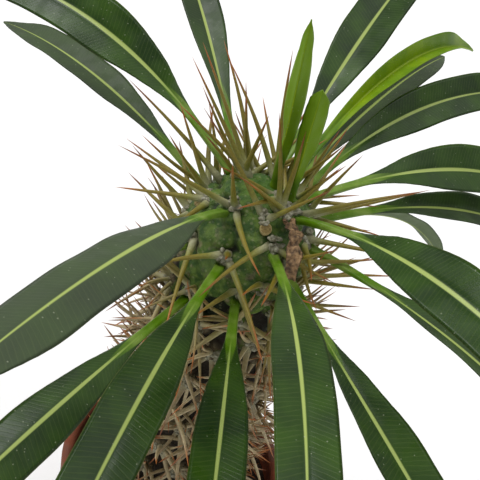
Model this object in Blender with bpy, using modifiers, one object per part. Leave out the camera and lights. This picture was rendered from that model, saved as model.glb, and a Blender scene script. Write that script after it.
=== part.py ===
"""Madagascar palm (Pachypodium lamerei) growing in a plain terracotta pot.

Metres, +Z up. The pot's foot rests on Z = 0 and the pot's axis is the Z axis.
The thick spiny trunk leans a little towards +X. Its crown carries a whorl of
long leaves, each one seated just under a cluster of three spines.
"""
import math
import random
from collections import namedtuple

import bmesh
import bpy
from mathutils import Vector
from mathutils.bvhtree import BVHTree

TURN_STEPS = 36

# Pot and soil
RIM_RADIUS = 0.066
POT_HEIGHT = 0.105
POT_WALL = 0.007
FOOT_RADIUS = 0.046
RIM_BAND = 0.024
BAND_STEP = 0.0025
THROAT_HEIGHT = 0.086
FLOOR_THICKNESS = 0.008
DRAIN_RADIUS = 0.0045
DRAIN_CIRCLE = 0.020
DRAIN_COUNT = 3
SOIL_LEVEL = 0.093
SOIL_SLOPE = 0.003
SOIL_CRUMBS = 0.0012
CLEARANCE = 0.00035

# Trunk
TRUNK_TOP = 0.315
DOME_START = 0.287
DOME_ARC = 0.0455
SHOULDER_RADIUS = 0.0295
BASE_RADIUS = 0.0340
TRUNK_LEAN = 0.008
STUB_DEPTH = 0.048
STUB_RADIUS = 0.013
RING_SPACING = 0.0085
KNOB_HEIGHT = 0.0026
KNOB_WIDTH = 0.0070
KNOB_AREA = 0.000340
KNOB_GAP = 0.0112
GOLDEN_ANGLE = math.radians(137.508)

# Spines
SPINE_RADIUS = 0.0016
SPINE_SUNK = 0.0030
SPINE_ABOVE_LEAF = 0.0048
SPINE_CLEAR = 0.0007
CROWN_SPINE = 0.046
TRUNK_SPINE = 0.034
FADE_BELOW_CROWN = 0.060
FIRST_SPINES = 0.008
SPINE_START = 0.6

# Leaves
PETIOLE_RADIUS = 0.0022
LEAF_STATIONS = 12
BLADE_THICKNESS = 0.0008
KEEL_DEPTH = 0.0016
SEAT_GAP = 0.0003
TIP_HALF_WIDTH = 0.0009

# A leaf's place and pose: bearing round the trunk, distance below the trunk's
# tip along its skin, rise of the leaf stalk, its turn away from the bearing,
# how far the blade droops and sweeps sideways by its tip, roll about the
# midrib and fold of each half (degrees), then length and width (millimetres),
# and the share of its length past which it narrows to its point.
Leaf = namedtuple("Leaf", "bearing below rise turn droop sweep roll fold length width taper", defaults=[0.72])
LEAVES = {
    "leaf_01": Leaf(141, 20, 28, 7, 48, 13, 34, 14, 192, 29),
    "leaf_02": Leaf(140, 42, 10, 0, 27, 4, 10, 12, 186, 21),
    "leaf_03": Leaf(111, 36, 28, 7, 34, -3, 8, 16, 202, 21),
    "leaf_04": Leaf(82, 36, 36, -10, 38, 0, -10, 14, 199, 26),
    "leaf_05": Leaf(63, 27, 27, 4, 53, -12, -25, 55, 196, 17),
    "leaf_06": Leaf(74, 48, 17, -9, 28, -1, -8, 18, 196, 21),
    "leaf_07": Leaf(57, 39, 19, 5, 32, -27, -34, 14, 194, 23),
    "leaf_08": Leaf(35, 27, 10, 4, 50, -7, -34, 12, 190, 27),
    "leaf_09": Leaf(28, 39, 4, 8, 46, -13, -14, 14, 193, 22),
    "leaf_10": Leaf(44, 52, -10, 13, 46, -17, 36, 16, 196, 14),
    "leaf_11": Leaf(338, 20, 32, -28, 48, 0, -32, 12, 190, 26),
    "leaf_12": Leaf(341, 35, 10, -14, 42, -2, 8, 14, 195, 21),
    "leaf_13": Leaf(312, 42, -2, -9, 25, 15, 0, 16, 198, 25),
    "leaf_14": Leaf(296, 32, 27, -16, 43, -2, 0, 12, 194, 22),
    "leaf_15": Leaf(275, 58, 18, -2, 34, 4, 0, 14, 196, 21),
    "leaf_16": Leaf(254, 42, 15, 7, 40, 1, 0, 12, 195, 24),
    "leaf_17": Leaf(234, 70, 5, 13, 32, -7, 10, -14, 200, 25),
    "leaf_18": Leaf(228, 21, 32, 28, 35, -7, 0, -14, 202, 24),
    "leaf_19": Leaf(213, 45, -6, 14, 39, 2, 0, 14, 198, 22),
    "young_leaf_1": Leaf(31, 5, 86, 194, 0, 0, -40, 64, 86, 14, 0.5),
    "young_leaf_2": Leaf(355, 12, 88, -90, 0, 0, 0, 60, 60, 15),
    "withered_leaf": Leaf(320, 18, 20, -28, 85, -20, 36, 24, 34, 9),
}
# Knobs whose leaf has fallen, as bearing and distance below the tip
BARE_KNOBS = [(286, 16), (188, 25), (180, 40), (165, 30), (110, 20), (330, 52)]
# The spines that stand out in front, by the bearing and depth of their knob:
# heading and rise (degrees), then length (millimetres).
FRONT_SPINES = {
    (228, 21): [(196, 26, 60), (255, 64, 36), (292, 5, 50)],
    (254, 42): [(215, 4, 38), (299, -6, 51), (275, 37, 14)],
    (296, 32): [(240, -1, 50), (299, -17, 42)],
    (213, 45): [(272, -11, 54), (151, 14, 42)],
    (275, 58): [(244, 16, 38), (293, 3, 44)],
    (286, 16): [(330, 28, 44), (180, 52, 60)],
    (188, 25): [(194, -1, 42), (251, 3, 36), (157, 7, 48)],
    (341, 35): [(347, 14, 48), (306, -29, 46), (278, 8, 34)],
}

COLLECTION = "madagascar_palm"


def clear_scene():
    for old in list(bpy.data.objects):
        bpy.data.objects.remove(old, do_unlink=True)


def new_collection(name):
    group = bpy.data.collections.new(name)
    bpy.context.scene.collection.children.link(group)
    return group


def material(name, colour, roughness):
    mat = bpy.data.materials.new(name)
    mat.use_nodes = True
    shader = mat.node_tree.nodes["Principled BSDF"]
    shader.inputs["Base Color"].default_value = (*colour, 1.0)
    shader.inputs["Roughness"].default_value = roughness
    shader.inputs["Metallic"].default_value = 0.0
    mat.diffuse_color = (*colour, 1.0)
    return mat


def add_object(name, mesh, group, mat=None):
    obj = bpy.data.objects.new(name, mesh)
    group.objects.link(obj)
    if mat:
        mesh.materials.append(mat)
    return obj


def mesh_from_bmesh(name, bm):
    bmesh.ops.recalc_face_normals(bm, faces=bm.faces)
    mesh = bpy.data.meshes.new(name)
    bm.to_mesh(mesh)
    bm.free()
    mesh.shade_smooth()
    mesh.set_sharp_from_angle(angle=math.radians(40))
    return mesh


def ease(value):
    value = min(max(value, 0.0), 1.0)
    return value * value * (3 - 2 * value)


# Pot and soil


def wall_radius(height, inset=0.0):
    """Radius of the pot's plain tapered wall at a height, moved in by inset."""
    taper = (RIM_RADIUS - BAND_STEP - FOOT_RADIUS) / (POT_HEIGHT - RIM_BAND)
    return FOOT_RADIUS + taper * min(height, POT_HEIGHT - RIM_BAND) - inset


def arc_points(cx, cz, radius, start, end, count):
    angles = [math.radians(start + (end - start) * i / count) for i in range(count + 1)]
    return [(cx + radius * math.cos(a), cz + radius * math.sin(a)) for a in angles]


def turned(name, profile, steps, group, mat):
    """Spin a profile of (radius, height) points round the Z axis."""
    mesh = bpy.data.meshes.new(name)
    edges = [(i, i + 1) for i in range(len(profile) - 1)]
    mesh.from_pydata([(r, 0, z) for r, z in profile], edges, [])
    obj = add_object(name, mesh, group, mat)
    screw = obj.modifiers.new("Turn", "SCREW")
    screw.steps = steps
    screw.render_steps = steps
    screw.use_merge_vertices = True
    screw.merge_threshold = 0.00001
    screw.use_smooth_shade = True
    return obj


def pot_profile():
    lip = POT_WALL / 2
    band_base = POT_HEIGHT - RIM_BAND
    inner = RIM_RADIUS - POT_WALL
    foot_edge = 0.003
    points = [(0.0, FLOOR_THICKNESS)]
    points += [(wall_radius(FLOOR_THICKNESS, POT_WALL) - foot_edge, FLOOR_THICKNESS)]
    points += [(wall_radius(FLOOR_THICKNESS + foot_edge, POT_WALL), FLOOR_THICKNESS + foot_edge)]
    points += [(wall_radius(band_base, POT_WALL), band_base)]
    points += [(inner, THROAT_HEIGHT)]
    points += arc_points(inner + lip, POT_HEIGHT - lip, lip, 180, 0, 5)
    points += [(RIM_RADIUS - 0.0008, band_base + 0.0012), (RIM_RADIUS - BAND_STEP, band_base)]
    points += [(FOOT_RADIUS + 0.0008, 0.0012), (FOOT_RADIUS - 0.001, 0.0), (0.0, 0.0)]
    return points


def drain_hole(index, group):
    angle = 2 * math.pi * index / DRAIN_COUNT + math.pi / 2
    bpy.ops.mesh.primitive_cylinder_add(
        vertices=12, radius=DRAIN_RADIUS, depth=FLOOR_THICKNESS * 3,
        location=(DRAIN_CIRCLE * math.cos(angle), DRAIN_CIRCLE * math.sin(angle), FLOOR_THICKNESS / 2))
    cutter = bpy.context.object
    cutter.name = f"drain_cutter_{index + 1}"
    cutter.hide_render = True
    cutter.display_type = "WIRE"
    for old in list(cutter.users_collection):
        old.objects.unlink(cutter)
    group.objects.link(cutter)
    return cutter


def build_pot(parts, cutters):
    clay = material("terracotta", (0.36, 0.13, 0.06), 0.75)
    pot = turned("pot", pot_profile(), TURN_STEPS, parts, clay)
    for index in range(DRAIN_COUNT):
        cut = pot.modifiers.new(f"Drain {index + 1}", "BOOLEAN")
        cut.operation = "DIFFERENCE"
        cut.solver = "EXACT"
        cut.object = drain_hole(index, cutters)
    return pot


def stub_radius(height):
    """Radius of the trunk's buried foot."""
    depth = min(max((SOIL_LEVEL - height) / STUB_DEPTH, 0.0), 1.0)
    return STUB_RADIUS + (BASE_RADIUS - STUB_RADIUS) * math.sqrt(1 - depth ** 2)


def stub_heights(count):
    return [SOIL_LEVEL - STUB_DEPTH * math.sin(math.pi / 2 * i / count) for i in range(count + 1)]


def build_soil(parts):
    earth = material("soil", (0.018, 0.010, 0.006), 0.95)
    gap = CLEARANCE
    top = SOIL_LEVEL - gap
    floor = FLOOR_THICKNESS + gap
    inner_edge = 0.003
    band_base = POT_HEIGHT - RIM_BAND
    rim_inner = RIM_RADIUS - POT_WALL - gap
    hole = [(stub_radius(z) + gap, z) for z in stub_heights(6)]
    hole = [(r, z - gap * 0.5) for r, z in hole]
    lowest = SOIL_LEVEL - STUB_DEPTH - gap * 1.6
    profile = [(0.0, lowest), (STUB_RADIUS + gap, lowest)] + hole[::-1][1:]
    profile += [(BASE_RADIUS + 0.008, top + SOIL_SLOPE * 0.3), (rim_inner - 0.004, top - SOIL_CRUMBS)]
    profile += [(rim_inner, top - SOIL_SLOPE)]
    profile += [(rim_inner, THROAT_HEIGHT)]
    profile += [(wall_radius(band_base, POT_WALL + gap), band_base)]
    profile += [(wall_radius(floor + inner_edge, POT_WALL + gap), floor + inner_edge)]
    profile += [(wall_radius(floor, POT_WALL + gap) - inner_edge, floor), (0.0, floor)]
    return turned("soil", profile, TURN_STEPS, parts, earth)


# Trunk


def trunk_shift(height):
    climb = max((height - SOIL_LEVEL) / (TRUNK_TOP - SOIL_LEVEL - 0.012), 0.0)
    return TRUNK_LEAN * climb ** 1.3


def side_radius(height):
    climb = (height - SOIL_LEVEL) / (DOME_START - SOIL_LEVEL)
    return BASE_RADIUS + (SHOULDER_RADIUS - BASE_RADIUS) * min(max(climb, 0.0), 1.0)


def skin(below, bearing):
    """Point and outward normal of the smooth trunk, below its tip, at a bearing."""
    if below < DOME_ARC:
        angle = below / DOME_ARC * math.pi / 2
        radius = SHOULDER_RADIUS * math.sin(angle)
        height = DOME_START + (TRUNK_TOP - DOME_START) * math.cos(angle)
        slope = angle
    else:
        height = DOME_START - (below - DOME_ARC)
        radius = side_radius(height)
        slope = math.pi / 2
    out = Vector((math.cos(bearing), math.sin(bearing), 0))
    point = out * radius + Vector((trunk_shift(height), 0, height))
    normal = (out * math.sin(slope) + Vector((0, 0, 1)) * math.cos(slope)).normalized()
    return point, normal


def knobs():
    """Every knob of the trunk as (below, bearing, has a leaf, hand-placed spines)."""
    leaf_places = [(leaf.bearing, leaf.below) for leaf in LEAVES.values()]
    placed = []
    for bearing, below in leaf_places + BARE_KNOBS:
        aims = FRONT_SPINES.get((bearing, below), [])
        placed.append((below / 1000, math.radians(bearing), (bearing, below) in leaf_places, aims))
    centres = [skin(knob[0], knob[1])[0] for knob in placed]
    below = 0.030
    bearing = 0.0
    lowest = DOME_ARC + DOME_START - SOIL_LEVEL - KNOB_WIDTH
    while below < lowest:
        centre, _ = skin(below, bearing)
        if all((centre - other).length > KNOB_GAP for other in centres):
            placed.append((below, bearing, False, []))
            centres.append(centre)
        radius = max(math.hypot(centre.x, centre.y), SHOULDER_RADIUS * 0.5)
        below += KNOB_AREA / (2 * math.pi * radius)
        bearing += GOLDEN_ANGLE
    return placed


def trunk_body(all_knobs):
    """The trunk's skin as rings of points, pushed out at every knob."""
    centres = [skin(knob[0], knob[1])[0] for knob in all_knobs]
    side_length = DOME_START - SOIL_LEVEL
    total = DOME_ARC + side_length
    count = round(total / RING_SPACING)
    bm = bmesh.new()
    tip, _ = skin(0.0, 0.0)
    rings = []
    for ring in range(1, count + 1):
        below = total * ring / count
        fade = ease((total - below) / (2 * KNOB_WIDTH))
        row = []
        for side in range(TURN_STEPS):
            bearing = 2 * math.pi * side / TURN_STEPS
            point, normal = skin(below, bearing)
            lift = 0.0
            for centre in centres:
                lift = max(lift, 1 - (point - centre).length_squared / KNOB_WIDTH ** 2)
            row.append(bm.verts.new(point + normal * KNOB_HEIGHT * lift * fade))
        rings.append(row)
    for height in stub_heights(6)[1:]:
        radius = stub_radius(height)
        row = []
        for side in range(TURN_STEPS):
            bearing = 2 * math.pi * side / TURN_STEPS
            row.append(bm.verts.new((radius * math.cos(bearing), radius * math.sin(bearing), height)))
        rings.append(row)
    top = bm.verts.new(tip)
    for side in range(TURN_STEPS):
        bm.faces.new((top, rings[0][side], rings[0][(side + 1) % TURN_STEPS]))
    for upper, lower in zip(rings, rings[1:]):
        for side in range(TURN_STEPS):
            after = (side + 1) % TURN_STEPS
            bm.faces.new((upper[side], lower[side], lower[after], upper[after]))
    bm.faces.new(rings[-1])
    return mesh_from_bmesh("trunk", bm)


def tangent_frame(below, bearing):
    """Skin point with its outward, upward (to the tip) and sideways directions."""
    point, normal = skin(below, bearing)
    side = Vector((-math.sin(bearing), math.cos(bearing), 0))
    upward = normal.cross(side).normalized()
    if upward.z < 0:
        upward = -upward
    return point, normal, upward, side


def spine_directions(draw, frame, crown):
    """Three spreading directions: two to the sides and one up or down."""
    _, normal, upward, side = frame
    tilts = (62, 58, 40) if crown else (66, 62, 52)
    clocks = (150, 30, 90) if crown else (205, -25, 90)
    if not crown and draw.random() < 0.5:
        clocks = (140, 40, -90)
    for tilt, clock in zip(tilts, clocks):
        tilt = math.radians(tilt + draw.uniform(-14, 12))
        clock = math.radians(clock + draw.uniform(-24, 24))
        across = side * math.cos(clock) + upward * math.sin(clock)
        yield (normal * math.cos(tilt) + across * math.sin(tilt)).normalized()


def is_clear(root, tip, obstacles):
    """True where a spine stays off the leaves, the soil and the pot."""
    steps = 44
    for step in range(4, steps + 1):
        share = step / steps
        point = root.lerp(tip, share)
        reach = SPINE_RADIUS * (1 - share) + SPINE_CLEAR
        for tree in obstacles:
            if tree.find_nearest(point, reach)[0] is not None:
                return False
    inside_rim = math.hypot(tip.x, tip.y) < RIM_RADIUS - POT_WALL - 0.004
    return tip.z > SOIL_LEVEL + 0.004 and (tip.z > POT_HEIGHT + 0.004 or inside_rim)


def settle_spine(draw, root, start, direction, length, obstacles):
    """Turn or shorten a spine until it is clear; None where there is no room."""
    for attempt in range(40):
        wobble = Vector([draw.uniform(-1, 1) for _ in range(3)]) * (0.035 * attempt)
        turned_to = (direction + wobble).normalized()
        tip = start + turned_to * length * (1 - 0.012 * attempt)
        if turned_to.dot(direction) > 0.3 and is_clear(root, tip, obstacles):
            return tip
    return None


def pointing(heading, rise):
    heading, rise = math.radians(heading), math.radians(rise)
    return Vector((math.cos(rise) * math.cos(heading), math.cos(rise) * math.sin(heading), math.sin(rise)))


def spines_of(number, knob, obstacles):
    """One knob's spines, each as its sunk root and its tip."""
    below, bearing, has_leaf, aims = knob
    draw = random.Random(number)
    above = SPINE_ABOVE_LEAF if has_leaf else 0.0
    frame = tangent_frame(below - above, bearing)
    start = frame[0] + frame[1] * KNOB_HEIGHT * SPINE_START
    root = start - frame[1] * SPINE_SUNK
    mean = CROWN_SPINE + (TRUNK_SPINE - CROWN_SPINE) * ease((below - DOME_ARC) / FADE_BELOW_CROWN)
    wanted = [(pointing(heading, rise), length / 1000) for heading, rise, length in aims]
    if not aims:
        for direction in spine_directions(draw, frame, below < FADE_BELOW_CROWN):
            wanted.append((direction, mean * draw.uniform(0.82, 1.14)))
    for direction, length in wanted:
        tip = settle_spine(draw, root, start, direction, length, obstacles)
        if tip:
            yield root, tip


def spines(all_knobs, obstacles):
    grown = []
    for number, knob in enumerate(all_knobs):
        if knob[0] > FIRST_SPINES:
            grown += spines_of(number, knob, obstacles)
    return grown


def spine_mesh(name, root, tip):
    axis = tip - root
    bm = bmesh.new()
    bmesh.ops.create_cone(bm, cap_ends=True, segments=3, radius1=SPINE_RADIUS * 1.15, radius2=0,
                          depth=axis.length)
    turn = axis.to_track_quat("Z", "Y").to_matrix().to_4x4()
    bmesh.ops.transform(bm, matrix=turn, verts=bm.verts)
    bmesh.ops.translate(bm, vec=root.lerp(tip, 0.5), verts=bm.verts)
    return mesh_from_bmesh(name, bm)


def build_trunk(parts, all_knobs, body, obstacles):
    bark = material("bark", (0.16, 0.15, 0.10), 0.85)
    trunk = add_object("trunk", body, parts, bark)
    bundle = new_collection("spine_bundle")
    for number, (root, tip) in enumerate(spines(all_knobs, obstacles)):
        add_object(f"spine_{number}", spine_mesh(f"spine_{number}", root, tip), bundle)
    join = trunk.modifiers.new("Spines", "BOOLEAN")
    join.operation = "UNION"
    join.operand_type = "COLLECTION"
    join.collection = bundle
    join.solver = "EXACT"
    join.use_self = True
    bpy.context.view_layer.update()
    graph = bpy.context.evaluated_depsgraph_get()
    joined = bpy.data.meshes.new_from_object(trunk.evaluated_get(graph))
    trunk.modifiers.clear()
    trunk.data = joined
    for spine in list(bundle.objects):
        bpy.data.objects.remove(spine, do_unlink=True)
    bpy.data.collections.remove(bundle)
    return trunk


# Leaves


def leaf_direction(leaf, share):
    rise = math.radians(leaf.rise - leaf.droop * share ** 1.3)
    heading = math.radians(leaf.bearing + leaf.turn + leaf.sweep * share)
    return Vector((math.cos(rise) * math.cos(heading), math.cos(rise) * math.sin(heading), math.sin(rise)))


def leaf_half_width(leaf, share):
    """Half the blade's width: a round stalk, a long widening and a pointed tip."""
    full = leaf.width / 2000
    widening = ease((share - 0.10) / 0.42)
    width = PETIOLE_RADIUS + (full - PETIOLE_RADIUS) * widening
    if share > leaf.taper:
        narrowing = 1 - ((share - leaf.taper) / (1 - leaf.taper)) ** 2.2
        width = max(width * narrowing, TIP_HALF_WIDTH)
    return width


def leaf_section(leaf, share):
    """Eight (across, up) points: five over the top, three under the keel."""
    half = leaf_half_width(leaf, share)
    blade = ease((share - 0.08) / 0.22)
    fold = math.radians(leaf.fold) * blade * (1 - 0.75 * ease((share - 0.8) / 0.2))
    edge = BLADE_THICKNESS * blade + PETIOLE_RADIUS * 0.9 * (1 - blade)
    keel = KEEL_DEPTH * (1 - 0.4 * share) * blade + PETIOLE_RADIUS * (1 - blade)
    out, up = half * math.cos(fold), half * math.sin(fold)
    lean, rise = edge / 2 * math.sin(fold), edge / 2 * math.cos(fold)
    right = [(out * 0.5 - lean, up * 0.5 + rise), (out - lean, up + rise), (out + lean * 0.9, up - rise)]
    left = [(-across, height) for across, height in right[::-1]]
    return [left[1], left[2], (0, edge * 0.35), right[0], right[1], right[2], (0, -keel), left[0]]


def leaf_stations():
    """Shares of the length: close at the stalk's foot, then even."""
    rest = [0.12 + 0.88 * i / (LEAF_STATIONS - 2) for i in range(LEAF_STATIONS - 1)]
    return [0.0, 0.05] + rest


def seat_height(outline, normal, body_tree):
    """Least height of a stalk's flat foot above the knob that carries it."""
    centre = sum(outline, Vector()) / len(outline)
    lift = 0.01
    heights = []
    for point in outline:
        for share in (0.0, 0.35, 0.7, 1.0):
            start = centre.lerp(point, share) + normal * lift
            hit = body_tree.ray_cast(start, -normal)
            if hit[0] is not None:
                heights.append(hit[3] - lift)
    return min(heights)


def bridge(bm, one, two):
    """Join two sections; the top and the underside are split along the same diagonals."""
    size = len(one)
    for i in range(size):
        j = (i + 1) % size
        if i < 4:
            bm.faces.new((one[i], one[j], two[j]))
            bm.faces.new((one[i], two[j], two[i]))
        else:
            bm.faces.new((one[i], one[j], two[i]))
            bm.faces.new((one[j], two[j], two[i]))


def leaf_mesh(name, leaf, body_tree):
    """Loft the leaf from a flat seat on the trunk out to its tip."""
    place, normal = skin(leaf.below / 1000, math.radians(leaf.bearing))
    length = leaf.length / 1000
    stations = leaf_stations()
    fine = 60
    centre = place + normal * KNOB_HEIGHT
    path = [centre.copy()]
    for step in range(fine):
        path.append(path[-1] + leaf_direction(leaf, (step + 0.5) / fine) * length / fine)
    rows = []
    for number, share in enumerate(stations):
        at = share * fine
        low = min(int(at), fine - 1)
        point = path[low].lerp(path[low + 1], at - low)
        along = leaf_direction(leaf, share)
        roll = math.radians(leaf.roll) * ease(share / 0.5)
        across = along.cross(Vector((0, 0, 1))).normalized()
        over = across.cross(along).normalized()
        if over.z < 0:
            over = -over
        turned_across = across * math.cos(roll) + over * math.sin(roll)
        turned_over = over * math.cos(roll) - across * math.sin(roll)
        if number == 0:
            turned_across = (turned_across - normal * turned_across.dot(normal)).normalized()
            turned_over = normal.cross(turned_across).normalized()
            if turned_over.dot(over) < 0:
                turned_over = -turned_over
        rows.append([point + turned_across * a + turned_over * b for a, b in leaf_section(leaf, share)])
    move = normal * (SEAT_GAP - seat_height(rows[0], normal, body_tree))
    bm = bmesh.new()
    loops = [[bm.verts.new(p + move) for p in row] for row in rows]
    for one, two in zip(loops, loops[1:]):
        bridge(bm, one, two)
    bm.faces.new(loops[0])
    bm.faces.new(loops[-1])
    bmesh.ops.triangulate(bm, faces=[face for face in bm.faces if len(face.verts) > 3])
    return mesh_from_bmesh(name, bm)


def build_leaves(parts, body_tree):
    green = material("leaf_green", (0.045, 0.115, 0.02), 0.35)
    fresh = material("young_leaf_green", (0.20, 0.38, 0.02), 0.4)
    brown = material("withered_brown", (0.20, 0.11, 0.055), 0.9)
    built = []
    for name, leaf in LEAVES.items():
        mat = {"young": fresh, "withered": brown}.get(name.split("_")[0], green)
        built.append(add_object(name, leaf_mesh(name, leaf, body_tree), parts, mat))
    return built


def tree_of(mesh):
    points = [v.co for v in mesh.vertices]
    return BVHTree.FromPolygons(points, [tuple(p.vertices) for p in mesh.polygons])


def main():
    clear_scene()
    parts = new_collection(COLLECTION)
    cutters = new_collection("cutters")
    build_pot(parts, cutters)
    build_soil(parts)
    all_knobs = knobs()
    body = trunk_body(all_knobs)
    body_tree = tree_of(body)
    leaves = build_leaves(parts, body_tree)
    obstacles = [tree_of(leaf.data) for leaf in leaves]
    build_trunk(parts, all_knobs, body, obstacles)


main()
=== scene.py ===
# %% [markdown]
# The Madagascar palm is a thick, thorny stem with a whorl of long leaves on top.
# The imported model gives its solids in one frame, in metres, with the pot's foot
# on Z = 0. This lesson dresses those solids: each step builds one piece of the
# plant as a finer mesh, gives it a finish made of shader nodes, and lets it
# stand for the solid of the same name.

# %% Open the frame
import math
import random
from collections import namedtuple

import bmesh
import bpy
from mathutils import Matrix, Vector, noise
from mathutils.bvhtree import BVHTree
from mathutils.kdtree import KDTree


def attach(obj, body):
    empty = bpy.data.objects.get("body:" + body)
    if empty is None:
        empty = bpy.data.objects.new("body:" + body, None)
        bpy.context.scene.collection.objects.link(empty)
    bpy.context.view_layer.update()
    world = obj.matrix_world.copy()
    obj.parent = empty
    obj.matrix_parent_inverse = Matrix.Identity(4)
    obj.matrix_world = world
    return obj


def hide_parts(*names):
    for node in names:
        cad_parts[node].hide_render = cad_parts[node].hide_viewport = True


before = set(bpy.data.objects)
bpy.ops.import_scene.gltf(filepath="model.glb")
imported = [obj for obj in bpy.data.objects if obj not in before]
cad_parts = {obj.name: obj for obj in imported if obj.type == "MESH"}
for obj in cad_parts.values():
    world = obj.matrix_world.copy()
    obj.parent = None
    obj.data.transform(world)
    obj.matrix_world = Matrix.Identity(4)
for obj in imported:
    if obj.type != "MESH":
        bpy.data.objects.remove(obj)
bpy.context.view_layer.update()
print("nodes in the frame:", len(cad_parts))

# %% [markdown]
# A leaf, a knob and a spine all grow from the same skin, so their sizes come
# first. They are the plant's own measures: the pot's rim, the trunk's height and
# girth, and how far apart the knobs sit along their spiral.

# %% Driving sizes
RIM_RADIUS, POT_HEIGHT, POT_WALL, FOOT_RADIUS = 0.066, 0.105, 0.007, 0.046
RIM_BAND, BAND_STEP, THROAT_HEIGHT, FLOOR_THICKNESS = 0.024, 0.0025, 0.086, 0.008
DRAIN_RADIUS, DRAIN_CIRCLE, DRAIN_COUNT = 0.0045, 0.020, 3
SOIL_LEVEL, SOIL_SLOPE, CLEARANCE = 0.093, 0.003, 0.00035
TRUNK_TOP, DOME_START, DOME_ARC, FOOT_DEPTH = 0.315, 0.287, 0.0455, 0.012
SHOULDER_RADIUS, BASE_RADIUS, TRUNK_LEAN, LEAN_ENDS_BELOW_TIP = 0.0295, 0.0340, 0.008, 0.012
KNOB_HEIGHT, KNOB_WIDTH, KNOB_AREA, KNOB_GAP = 0.0026, 0.0070, 0.000340, 0.0112
GOLDEN_ANGLE = math.radians(137.508)
SPINE_RADIUS, SPINE_SUNK, SPINE_ABOVE_LEAF, SPINE_CLEAR = 0.0016, 0.0030, 0.0048, 0.0007
CROWN_SPINE, TRUNK_SPINE, FADE_BELOW_CROWN = 0.046, 0.034, 0.060
PETIOLE_RADIUS, BLADE_THICKNESS, KEEL_DEPTH = 0.0022, 0.0008, 0.0016
print("trunk top at", TRUNK_TOP, "rim at", POT_HEIGHT)

# %% [markdown]
# Each leaf is described the way one would point it out on the plant: where it
# sits round the trunk, how far below the tip, how steeply its stalk rises, how
# it turns, droops and sweeps, its roll and fold, and its length and width in
# millimetres. Then come how dusty the old leaf has become and, for one, where its
# tip starts to narrow.

# %% The leaves, one line each
Leaf = namedtuple("Leaf", "bearing below rise turn droop sweep roll fold length width dust taper",
                  defaults=[0.72])
LEAVES = {
    "leaf_01": Leaf(141, 20, 28, 7, 48, 13, 34, 14, 192, 29, 0.05),
    "leaf_02": Leaf(140, 42, 10, 0, 27, 4, 10, 12, 186, 21, 0.6),
    "leaf_03": Leaf(111, 36, 28, 7, 34, -3, 8, 16, 202, 21, 0.3),
    "leaf_04": Leaf(82, 36, 36, -10, 38, 0, -10, 14, 199, 26, 0.1),
    "leaf_05": Leaf(63, 27, 27, 4, 53, -12, -25, 55, 196, 17, 0.0),
    "leaf_06": Leaf(74, 48, 17, -9, 28, -1, -8, 18, 196, 21, 0.7),
    "leaf_07": Leaf(57, 39, 19, 5, 32, -27, -34, 14, 194, 23, 0.15),
    "leaf_08": Leaf(35, 27, 10, 4, 50, -7, -34, 12, 190, 27, 0.1),
    "leaf_09": Leaf(28, 39, 4, 8, 46, -13, -14, 14, 193, 22, 0.3),
    "leaf_10": Leaf(44, 52, -10, 13, 46, -17, 36, 16, 196, 14, 0.6),
    "leaf_11": Leaf(338, 20, 32, -28, 48, 0, -32, 12, 190, 26, 0.05),
    "leaf_12": Leaf(341, 35, 10, -14, 42, -2, 8, 14, 195, 21, 0.2),
    "leaf_13": Leaf(312, 42, -2, -9, 25, 15, 0, 16, 198, 25, 0.1),
    "leaf_14": Leaf(296, 32, 27, -16, 43, -2, 0, 12, 194, 22, 0.15),
    "leaf_15": Leaf(275, 58, 18, -2, 34, 4, 0, 14, 196, 21, 0.0),
    "leaf_16": Leaf(254, 42, 15, 7, 40, 1, 0, 12, 195, 24, 0.1),
    "leaf_17": Leaf(234, 70, 5, 13, 32, -7, 10, -14, 200, 25, 0.15),
    "leaf_18": Leaf(228, 21, 32, 28, 35, -7, 0, -14, 202, 24, 0.75),
    "leaf_19": Leaf(213, 45, -6, 14, 39, 2, 0, 14, 198, 22, 0.3),
    "young_leaf_1": Leaf(31, 5, 86, 194, 0, 0, -40, 64, 86, 14, 0.0, 0.5),
    "young_leaf_2": Leaf(355, 12, 88, -90, 0, 0, 0, 60, 60, 15, 0.0),
    "withered_leaf": Leaf(320, 18, 20, -28, 85, -20, 36, 24, 34, 9, 0.0),
}
BARE_KNOBS = [(286, 16), (188, 25), (180, 40), (165, 30), (110, 20), (330, 52)]
# The spines that stand out in front, by the bearing and depth of their knob: heading, rise, length.
FRONT_SPINES = {
    (228, 21): [(196, 26, 60), (255, 64, 36), (292, 5, 50)],
    (254, 42): [(215, 4, 38), (299, -6, 51), (275, 37, 14)],
    (296, 32): [(240, -1, 50), (299, -17, 42)],
    (213, 45): [(272, -11, 54), (151, 14, 42)],
    (275, 58): [(244, 16, 38), (293, 3, 44)],
    (286, 16): [(330, 28, 44), (180, 52, 60)],
    (188, 25): [(194, -1, 42), (251, 3, 36), (157, 7, 48)],
    (341, 35): [(347, 14, 48), (306, -29, 46), (278, 8, 34)],
}
print("leaves:", len(LEAVES))

# %% [markdown]
# A few small helpers keep the steps short. One turns a mesh into an object that
# rides with the plant, and one eases a value from 0 to 1. One writes a number on
# every point of a mesh, which a material can read back as a colour mask. A skin
# over rings of points makes every long grown shape here, so that is a helper too.

# %% Helpers for pieces


def ease(value):
    value = min(max(value, 0.0), 1.0)
    return value * value * (3 - 2 * value)


def add_piece(name, mesh, mat, stands_for=None):
    piece = bpy.data.objects.new(name, mesh)
    bpy.context.scene.collection.objects.link(piece)
    mesh.materials.append(mat)
    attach(piece, "root")
    if stands_for:
        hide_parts(stands_for)
    return piece


def write_mask(mesh, name, values):
    layer = mesh.attributes.new(name, "FLOAT", "POINT")
    layer.data.foreach_set("value", values)


def ring_of(radius, height, sides):
    """A level ring of points round the pot's axis."""
    angles = [2 * math.pi * side / sides for side in range(sides)]
    return [(radius * math.cos(angle), radius * math.sin(angle), height) for angle in angles]


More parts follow.
